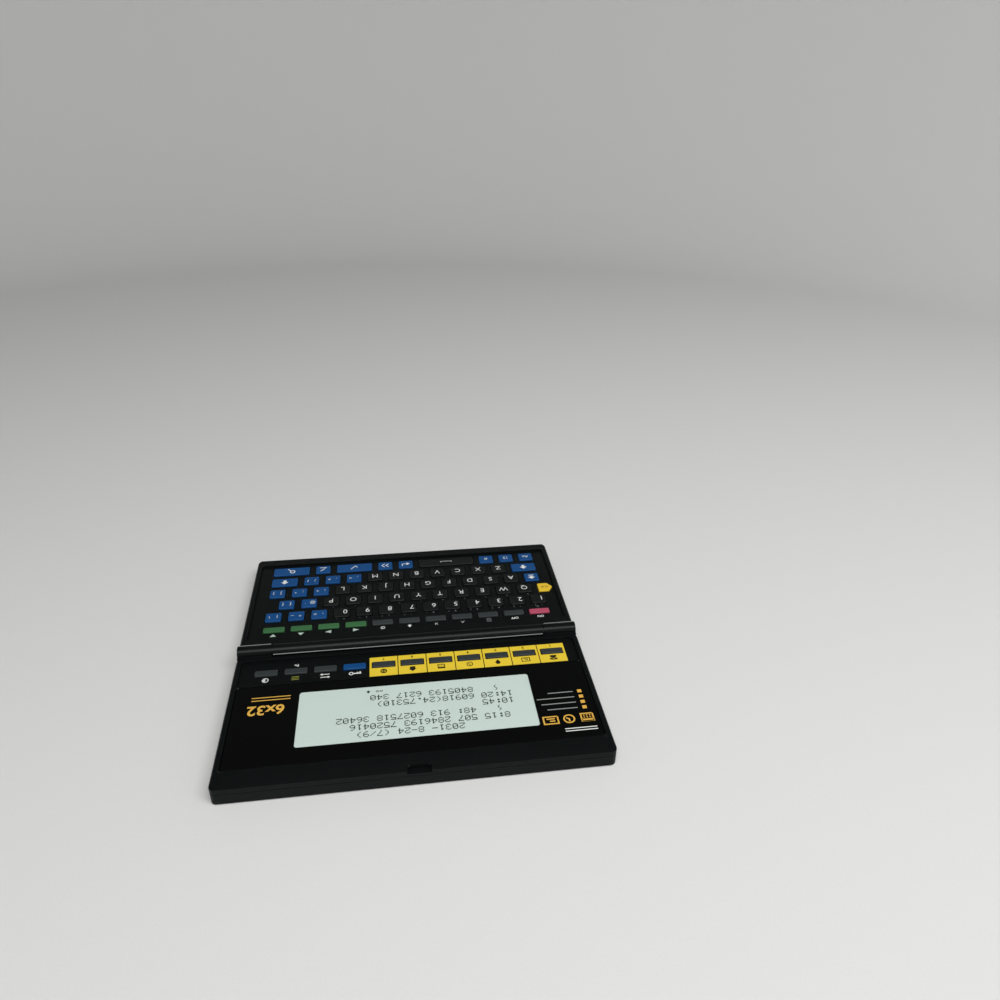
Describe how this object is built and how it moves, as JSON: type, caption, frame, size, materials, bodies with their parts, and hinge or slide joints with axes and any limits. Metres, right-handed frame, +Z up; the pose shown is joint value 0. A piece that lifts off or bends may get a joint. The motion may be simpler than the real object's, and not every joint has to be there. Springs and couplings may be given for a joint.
{
  "type": "electronic organizer",
  "caption": "Slim clamshell pocket organizer that opens flat, with a full keyboard in one half and a wide dot-matrix display with a row of keys in the other.",
  "frame": {"origin": "on the supporting surface, under the middle of the hinge axis, with the organizer opened flat", "axes": "+X to the user's right, +Y from the keyboard half to the display half, +Z up out of the keys"},
  "size_m": [0.163, 0.162, 0.0127],
  "materials": {
    "case": "fine spark-eroded texture",
    "gloss_panel": "polished acrylic, printed black behind",
    "display": "clear glass over a grey-green reflector",
    "display_frame": "moulded",
    "grey_key": "satin",
    "black_key": "satin",
    "blue_key": "satin",
    "green_key": "satin",
    "red_key": "satin",
    "yellow_key": "satin",
    "key_mat": "matte",
    "circuit_board": "solder resist",
    "cell_steel": "rolled",
    "hinge_steel": "drawn",
    "contact_brass": "stamped",
    "ribbon": "polyimide film"
  },
  "bodies": {
    "base": {"base_lower_case": "case", "base_upper_case": "case", "base_key_mat": "key_mat", "main_board": "circuit_board", "left_main_cell": "cell_steel", "right_main_cell": "cell_steel", "backup_cell": "cell_steel", "cell_contact": "contact_brass", "buzzer": "contact_brass", "data_jack": "contact_brass", "hinge_pin": "hinge_steel", "hinge_tube": "hinge_steel", "base_ribbon": "ribbon"},
    "lid": {"lid_outer_case": "case", "lid_inner_case": "case", "display_window": "gloss_panel", "display_glass": "display", "display_carrier": "display_frame", "lid_board": "circuit_board", "lid_key_mat": "key_mat", "lid_ribbon": "ribbon"},
    "battery_cover": {"battery_cover": "case"},
    "power_on_key": {"power_on_key": "red_key"},
    "power_off_key": {"power_off_key": "grey_key"},
    "calculator_key": {"calculator_key": "grey_key"},
    "insert_key": {"insert_key": "grey_key"},
    "delete_key": {"delete_key": "grey_key"},
    "alarm_key": {"alarm_key": "grey_key"},
    "clock_key": {"clock_key": "grey_key"},
    "cursor_left_key": {"cursor_left_key": "green_key"},
    "cursor_right_key": {"cursor_right_key": "green_key"},
    "cursor_up_key": {"cursor_up_key": "green_key"},
    "cursor_down_key": {"cursor_down_key": "green_key"},
    "digit_keys": {"digit_keys": "black_key"},
    "symbol_keys": {"symbol_keys": "blue_key"},
    "page_back_key": {"page_back_key": "yellow_key"},
    "upper_letter_keys": {"upper_letter_keys": "black_key"},
    "caps_key": {"caps_key": "blue_key"},
    "middle_letter_keys": {"middle_letter_keys": "black_key"},
    "left_shift_key": {"left_shift_key": "blue_key"},
    "lower_letter_keys": {"lower_letter_keys": "black_key"},
    "right_shift_key": {"right_shift_key": "blue_key"},
    "mode_keys": {"mode_keys": "blue_key"},
    "space_key": {"space_key": "black_key"},
    "enter_key": {"enter_key": "blue_key"},
    "next_key": {"next_key": "blue_key"},
    "set_key": {"set_key": "blue_key"},
    "edit_key": {"edit_key": "blue_key"},
    "search_key": {"search_key": "blue_key"},
    "telephone_key": {"telephone_key": "grey_key"},
    "card_file_key": {"card_file_key": "grey_key"},
    "memo_key": {"memo_key": "grey_key"},
    "schedule_key": {"schedule_key": "grey_key"},
    "calendar_key": {"calendar_key": "grey_key"},
    "home_time_key": {"home_time_key": "grey_key"},
    "world_time_key": {"world_time_key": "grey_key"},
    "secret_key": {"secret_key": "blue_key"},
    "data_key": {"data_key": "grey_key"},
    "display_key": {"display_key": "grey_key"},
    "function_key": {"function_key": "grey_key"}
  },
  "joints": [
    {"name": "lid_hinge", "type": "hinge", "parent": "base", "child": "lid", "pos_m": [0, 0, 0.00955], "axis": [1, 0, 0], "range_deg": [0, 180]},
    {"name": "battery_cover_slide", "type": "slide", "parent": "base", "child": "battery_cover", "axis": [0, -1, 0], "range_m": [0, 0.012]},
    {"name": "power_on_key_press", "type": "slide", "parent": "base", "child": "power_on_key", "axis": [0, 0, -1], "range_m": [0, 0.0005], "stiffness_N_per_m": 800},
    {"name": "power_off_key_press", "type": "slide", "parent": "base", "child": "power_off_key", "axis": [0, 0, -1], "range_m": [0, 0.0005], "stiffness_N_per_m": 800},
    {"name": "calculator_key_press", "type": "slide", "parent": "base", "child": "calculator_key", "axis": [0, 0, -1], "range_m": [0, 0.0005], "stiffness_N_per_m": 800},
    {"name": "insert_key_press", "type": "slide", "parent": "base", "child": "insert_key", "axis": [0, 0, -1], "range_m": [0, 0.0005], "stiffness_N_per_m": 800},
    {"name": "delete_key_press", "type": "slide", "parent": "base", "child": "delete_key", "axis": [0, 0, -1], "range_m": [0, 0.0005], "stiffness_N_per_m": 800},
    {"name": "alarm_key_press", "type": "slide", "parent": "base", "child": "alarm_key", "axis": [0, 0, -1], "range_m": [0, 0.0005], "stiffness_N_per_m": 800},
    {"name": "clock_key_press", "type": "slide", "parent": "base", "child": "clock_key", "axis": [0, 0, -1], "range_m": [0, 0.0005], "stiffness_N_per_m": 800},
    {"name": "cursor_left_key_press", "type": "slide", "parent": "base", "child": "cursor_left_key", "axis": [0, 0, -1], "range_m": [0, 0.0005], "stiffness_N_per_m": 800},
    {"name": "cursor_right_key_press", "type": "slide", "parent": "base", "child": "cursor_right_key", "axis": [0, 0, -1], "range_m": [0, 0.0005], "stiffness_N_per_m": 800},
    {"name": "cursor_up_key_press", "type": "slide", "parent": "base", "child": "cursor_up_key", "axis": [0, 0, -1], "range_m": [0, 0.0005], "stiffness_N_per_m": 800},
    {"name": "cursor_down_key_press", "type": "slide", "parent": "base", "child": "cursor_down_key", "axis": [0, 0, -1], "range_m": [0, 0.0005], "stiffness_N_per_m": 800},
    {"name": "digit_keys_press", "type": "slide", "parent": "base", "child": "digit_keys", "axis": [0, 0, -1], "range_m": [0, 0.0005], "stiffness_N_per_m": 800},
    {"name": "symbol_keys_press", "type": "slide", "parent": "base", "child": "symbol_keys", "axis": [0, 0, -1], "range_m": [0, 0.0005], "stiffness_N_per_m": 800},
    {"name": "page_back_key_press", "type": "slide", "parent": "base", "child": "page_back_key", "axis": [0, 0, -1], "range_m": [0, 0.0005], "stiffness_N_per_m": 800},
    {"name": "upper_letter_keys_press", "type": "slide", "parent": "base", "child": "upper_letter_keys", "axis": [0, 0, -1], "range_m": [0, 0.0005], "stiffness_N_per_m": 800},
    {"name": "caps_key_press", "type": "slide", "parent": "base", "child": "caps_key", "axis": [0, 0, -1], "range_m": [0, 0.0005], "stiffness_N_per_m": 800},
    {"name": "middle_letter_keys_press", "type": "slide", "parent": "base", "child": "middle_letter_keys", "axis": [0, 0, -1], "range_m": [0, 0.0005], "stiffness_N_per_m": 800},
    {"name": "left_shift_key_press", "type": "slide", "parent": "base", "child": "left_shift_key", "axis": [0, 0, -1], "range_m": [0, 0.0005], "stiffness_N_per_m": 800},
    {"name": "lower_letter_keys_press", "type": "slide", "parent": "base", "child": "lower_letter_keys", "axis": [0, 0, -1], "range_m": [0, 0.0005], "stiffness_N_per_m": 800},
    {"name": "right_shift_key_press", "type": "slide", "parent": "base", "child": "right_shift_key", "axis": [0, 0, -1], "range_m": [0, 0.0005], "stiffness_N_per_m": 800},
    {"name": "mode_keys_press", "type": "slide", "parent": "base", "child": "mode_keys", "axis": [0, 0, -1], "range_m": [0, 0.0005], "stiffness_N_per_m": 800},
    {"name": "space_key_press", "type": "slide", "parent": "base", "child": "space_key", "axis": [0, 0, -1], "range_m": [0, 0.0005], "stiffness_N_per_m": 800},
    {"name": "enter_key_press", "type": "slide", "parent": "base", "child": "enter_key", "axis": [0, 0, -1], "range_m": [0, 0.0005], "stiffness_N_per_m": 800},
    {"name": "next_key_press", "type": "slide", "parent": "base", "child": "next_key", "axis": [0, 0, -1], "range_m": [0, 0.0005], "stiffness_N_per_m": 800},
    {"name": "set_key_press", "type": "slide", "parent": "base", "child": "set_key", "axis": [0, 0, -1], "range_m": [0, 0.0005], "stiffness_N_per_m": 800},
    {"name": "edit_key_press", "type": "slide", "parent": "base", "child": "edit_key", "axis": [0, 0, -1], "range_m": [0, 0.0005], "stiffness_N_per_m": 800},
    {"name": "search_key_press", "type": "slide", "parent": "base", "child": "search_key", "axis": [0, 0, -1], "range_m": [0, 0.0005], "stiffness_N_per_m": 800},
    {"name": "telephone_key_press", "type": "slide", "parent": "lid", "child": "telephone_key", "axis": [0, 0, -1], "range_m": [0, 0.0005], "stiffness_N_per_m": 800},
    {"name": "card_file_key_press", "type": "slide", "parent": "lid", "child": "card_file_key", "axis": [0, 0, -1], "range_m": [0, 0.0005], "stiffness_N_per_m": 800},
    {"name": "memo_key_press", "type": "slide", "parent": "lid", "child": "memo_key", "axis": [0, 0, -1], "range_m": [0, 0.0005], "stiffness_N_per_m": 800},
    {"name": "schedule_key_press", "type": "slide", "parent": "lid", "child": "schedule_key", "axis": [0, 0, -1], "range_m": [0, 0.0005], "stiffness_N_per_m": 800},
    {"name": "calendar_key_press", "type": "slide", "parent": "lid", "child": "calendar_key", "axis": [0, 0, -1], "range_m": [0, 0.0005], "stiffness_N_per_m": 800},
    {"name": "home_time_key_press", "type": "slide", "parent": "lid", "child": "home_time_key", "axis": [0, 0, -1], "range_m": [0, 0.0005], "stiffness_N_per_m": 800},
    {"name": "world_time_key_press", "type": "slide", "parent": "lid", "child": "world_time_key", "axis": [0, 0, -1], "range_m": [0, 0.0005], "stiffness_N_per_m": 800},
    {"name": "secret_key_press", "type": "slide", "parent": "lid", "child": "secret_key", "axis": [0, 0, -1], "range_m": [0, 0.0005], "stiffness_N_per_m": 800},
    {"name": "data_key_press", "type": "slide", "parent": "lid", "child": "data_key", "axis": [0, 0, -1], "range_m": [0, 0.0005], "stiffness_N_per_m": 800},
    {"name": "display_key_press", "type": "slide", "parent": "lid", "child": "display_key", "axis": [0, 0, -1], "range_m": [0, 0.0005], "stiffness_N_per_m": 800},
    {"name": "function_key_press", "type": "slide", "parent": "lid", "child": "function_key", "axis": [0, 0, -1], "range_m": [0, 0.0005], "stiffness_N_per_m": 800}
  ]
}
